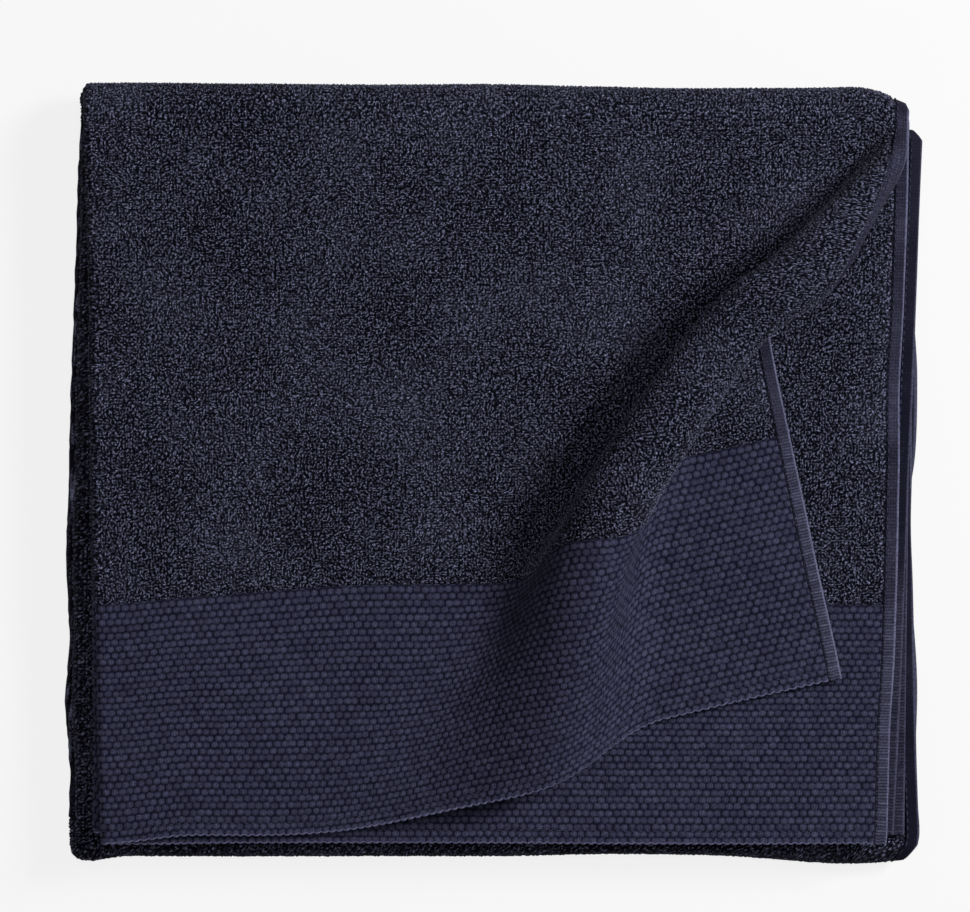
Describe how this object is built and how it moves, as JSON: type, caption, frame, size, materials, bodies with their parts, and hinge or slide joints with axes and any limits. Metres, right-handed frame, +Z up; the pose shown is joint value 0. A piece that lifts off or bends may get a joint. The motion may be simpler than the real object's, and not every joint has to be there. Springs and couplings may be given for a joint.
{
  "type": "bath towel",
  "caption": "Terry bath towel folded lengthwise and twice across, with flat woven borders, turned hems and a raised diagonal pleat across its top leaf.",
  "frame": {"origin": "on the surface the towel lies on, under the middle of its box", "axes": "+X from the lengthwise folds to the selvages, +Y from the end hems to the back folds, +Z up"},
  "size_m": [0.3697, 0.3404, 0.0741],
  "materials": {
    "pile_cloth": "uncut cotton loop pile, deep navy, matt",
    "border_cloth": "flat woven cotton band with small staggered cells, navy, matt",
    "hem_cloth": "turned and sewn plain weave hem, navy, with fine cross ribs",
    "seam_thread": "navy sewing thread in a lock stitch"
  },
  "bodies": {
    "lower_half": {"bottom_leaf_side_hem": "hem_cloth", "bottom_leaf_side_seam_thread": "seam_thread", "bottom_leaf_terry": "pile_cloth", "bottom_pair_side_fold": "pile_cloth", "fourth_leaf_side_hem": "hem_cloth", "fourth_leaf_side_seam_thread": "seam_thread", "fourth_leaf_terry": "pile_cloth", "front_fold_corner": "pile_cloth", "front_fold_inside": "pile_cloth", "front_fold_inside_hem": "hem_cloth", "front_fold_outside": "pile_cloth", "front_fold_outside_hem": "hem_cloth", "inner_back_fold_corner": "pile_cloth", "inner_back_fold_inside": "pile_cloth", "inner_back_fold_inside_hem": "hem_cloth", "inner_back_fold_outside": "pile_cloth", "inner_back_fold_outside_hem": "hem_cloth", "middle_pair_side_fold": "pile_cloth", "outer_back_fold_corner": "pile_cloth", "outer_back_fold_inside": "pile_cloth", "outer_back_fold_inside_hem": "hem_cloth", "outer_back_fold_outside": "pile_cloth", "outer_back_fold_outside_hem": "hem_cloth", "second_leaf_side_hem": "hem_cloth", "second_leaf_side_seam_thread": "seam_thread", "second_leaf_terry": "pile_cloth", "third_leaf_side_hem": "hem_cloth", "third_leaf_side_seam_thread": "seam_thread", "third_leaf_terry": "pile_cloth"},
    "inner_flap": {"fifth_leaf_border": "border_cloth", "fifth_leaf_end_hem": "hem_cloth", "fifth_leaf_end_seam_thread": "seam_thread", "fifth_leaf_side_hem": "hem_cloth", "fifth_leaf_side_seam_thread": "seam_thread", "fifth_leaf_terry": "pile_cloth", "inner_flap_border_fold": "border_cloth", "inner_flap_side_fold": "pile_cloth", "sixth_leaf_border": "border_cloth", "sixth_leaf_end_hem": "hem_cloth", "sixth_leaf_end_seam_thread": "seam_thread", "sixth_leaf_side_hem": "hem_cloth", "sixth_leaf_side_seam_thread": "seam_thread", "sixth_leaf_terry": "pile_cloth"},
    "outer_flap": {"outer_flap_border_fold": "border_cloth", "outer_flap_side_fold": "pile_cloth", "seventh_leaf_border": "border_cloth", "seventh_leaf_end_hem": "hem_cloth", "seventh_leaf_end_seam_thread": "seam_thread", "seventh_leaf_side_hem": "hem_cloth", "seventh_leaf_side_seam_thread": "seam_thread", "seventh_leaf_terry": "pile_cloth", "top_leaf_border": "border_cloth", "top_leaf_end_hem": "hem_cloth", "top_leaf_end_seam_thread": "seam_thread", "top_leaf_side_hem": "hem_cloth", "top_leaf_side_seam_thread": "seam_thread", "top_leaf_terry": "pile_cloth"}
  },
  "joints": [
    {"name": "inner_flap_fold", "type": "hinge", "parent": "lower_half", "child": "inner_flap", "pos_m": [0, 0.15276, 0.01705], "axis": [-1, 0, 0], "range_deg": [0, 70], "deforming": ["inner_back_fold_corner", "inner_back_fold_inside", "inner_back_fold_inside_hem", "inner_back_fold_outside", "inner_back_fold_outside_hem"]},
    {"name": "outer_flap_fold", "type": "hinge", "parent": "inner_flap", "child": "outer_flap", "pos_m": [0, 0.15276, 0.01705], "axis": [-1, 0, 0], "range_deg": [0, 70], "deforming": ["outer_back_fold_corner", "outer_back_fold_inside", "outer_back_fold_inside_hem", "outer_back_fold_outside", "outer_back_fold_outside_hem"]}
  ]
}
